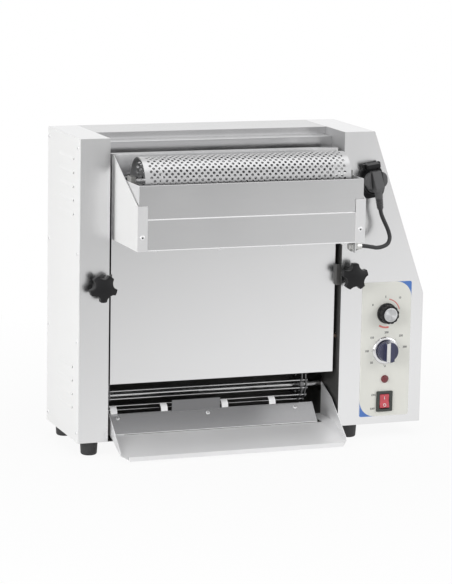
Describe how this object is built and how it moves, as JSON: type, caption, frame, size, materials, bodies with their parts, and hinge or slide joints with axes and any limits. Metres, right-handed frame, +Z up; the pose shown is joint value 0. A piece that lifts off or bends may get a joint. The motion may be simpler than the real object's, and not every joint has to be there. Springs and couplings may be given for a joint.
{
  "type": "vertical bun toaster",
  "caption": "Stainless vertical contact toaster for buns with a rod conveyor, a sloping outlet tray and a heated butter trough with a perforated spreading drum.",
  "frame": {"origin": "middle of the assembly's box at the level that the rubber feet stand on", "axes": "+X to the right seen from the front, +Y to the back, +Z up; the operator stands at -Y"},
  "size_m": [0.59, 0.3034, 0.502],
  "materials": {
    "stainless": "brushed",
    "bright_stainless": "satin",
    "pale_panel": "satin",
    "screw_steel": "satin",
    "chain_steel": "oiled",
    "hot_plate": "matte",
    "element_sheath": "heat tinted",
    "bush_bronze": "satin",
    "motor_grey": "satin",
    "ceramic": "matte",
    "circuit_green": "matte",
    "black_plastic": "satin",
    "dial_silver": "spun",
    "dial_navy": "gloss",
    "ring_chrome": "polished",
    "cream_plate": "satin",
    "lamp_red": "gloss",
    "rocker_red": "gloss",
    "bearing_grey": "matte",
    "gland_nickel": "satin",
    "cord_grey": "matte",
    "plug_rubber": "matte",
    "foot_rubber": "matte"
  },
  "bodies": {
    "casing": {"left_frame": "stainless", "right_frame": "stainless", "rear_cover": "stainless", "base_plate": "stainless", "right_side_panel": "stainless", "feed_guide": "stainless", "trough_housing": "stainless", "tray_runners": "stainless", "deflector": "stainless", "gland_bracket": "stainless", "clamp_brackets": "stainless", "top_cover": "bright_stainless", "front_cover": "bright_stainless", "trough_left_plate": "bright_stainless", "trough_right_plate": "bright_stainless", "conveyor_rods": "bright_stainless", "platen_standoffs": "bright_stainless", "left_side_panel": "pale_panel", "panel_screws": "screw_steel", "foot_screws": "screw_steel", "trough_rivets": "screw_steel", "left_chain": "chain_steel", "right_chain": "chain_steel", "drive_chain": "chain_steel", "heating_platen": "hot_plate", "platen_element": "element_sheath", "trough_heater": "element_sheath", "bearing_bushes": "bush_bronze", "gear_motor": "motor_grey", "terminal_block": "ceramic", "thermostat": "ceramic", "speed_controller": "circuit_green", "rocker_bezel": "black_plastic", "socket": "black_plastic", "mains_gland": "black_plastic", "temperature_ring": "ring_chrome", "control_plate": "cream_plate", "heating_lamp": "lamp_red", "cable_gland": "gland_nickel", "heater_cord": "cord_grey", "plug": "plug_rubber", "strain_relief": "plug_rubber", "feet": "foot_rubber"},
    "tank": {"butter_tank": "bright_stainless", "drum_bearings": "bearing_grey"},
    "drum": {"spreader_drum": "bright_stainless", "drum_axle": "bright_stainless"},
    "tray": {"landing_tray": "bright_stainless"},
    "left_knob": {"left_star_knob": "black_plastic"},
    "right_knob": {"right_star_knob": "black_plastic"},
    "speed": {"speed_dial": "black_plastic", "speed_dial_cap": "dial_silver"},
    "heat": {"temperature_dial": "dial_navy"},
    "switch": {"rocker": "rocker_red"},
    "lid": {"socket_lid": "black_plastic"},
    "drive": {"drive_shaft": "bright_stainless", "drive_sprockets": "chain_steel"},
    "idler": {"idler_shaft": "bright_stainless", "idler_wheels": "chain_steel"},
    "motor": {"motor_sprocket": "chain_steel"}
  },
  "joints": [
    {"name": "tank_lift", "type": "slide", "parent": "casing", "child": "tank", "axis": [0, 0, 1], "range_m": [0, 0.13]},
    {"name": "drum_spin", "type": "hinge", "parent": "tank", "child": "drum", "pos_m": [-0.048, -0.0943, 0.442], "axis": [1, 0, 0], "continuous": true},
    {"name": "tray_slide", "type": "slide", "parent": "casing", "child": "tray", "axis": [0, -1, 0], "range_m": [0, 0.12]},
    {"name": "left_knob_turn", "type": "hinge", "parent": "casing", "child": "left_knob", "pos_m": [-0.259, -0.0593, 0.271], "axis": [0, -1, 0], "range_deg": [0, 720]},
    {"name": "right_knob_turn", "type": "hinge", "parent": "casing", "child": "right_knob", "pos_m": [0.163, -0.0593, 0.271], "axis": [0, -1, 0], "range_deg": [0, 720]},
    {"name": "speed_turn", "type": "hinge", "parent": "casing", "child": "speed", "pos_m": [0.228, -0.0493, 0.205], "axis": [0, 1, 0], "range_deg": [-200, 70]},
    {"name": "temperature_turn", "type": "hinge", "parent": "casing", "child": "heat", "pos_m": [0.228, -0.0493, 0.1435], "axis": [0, 1, 0], "range_deg": [0, 300]},
    {"name": "rocker_tilt", "type": "hinge", "parent": "casing", "child": "switch", "pos_m": [0.228, -0.0373, 0.059], "axis": [1, 0, 0], "range_deg": [0, 14]},
    {"name": "socket_lid_swing", "type": "hinge", "parent": "casing", "child": "lid", "pos_m": [0.19026, -0.0473, 0.44919], "axis": [-0.9893, 0, -0.1461], "range_deg": [0, 80]},
    {"name": "drive_spin", "type": "hinge", "parent": "casing", "child": "drive", "pos_m": [-0.048, 0.03875, 0.427], "axis": [1, 0, 0], "continuous": true},
    {"name": "idler_spin", "type": "hinge", "parent": "casing", "child": "idler", "pos_m": [-0.048, 0.03875, 0.078], "axis": [1, 0, 0], "continuous": true},
    {"name": "motor_spin", "type": "hinge", "parent": "casing", "child": "motor", "pos_m": [0.1625, 0.03875, 0.322], "axis": [1, 0, 0], "continuous": true}
  ],
  "couplings": [
    {"joint": "idler_spin", "follows": "drive_spin", "ratio": 1},
    {"joint": "motor_spin", "follows": "drive_spin", "ratio": 1}
  ]
}
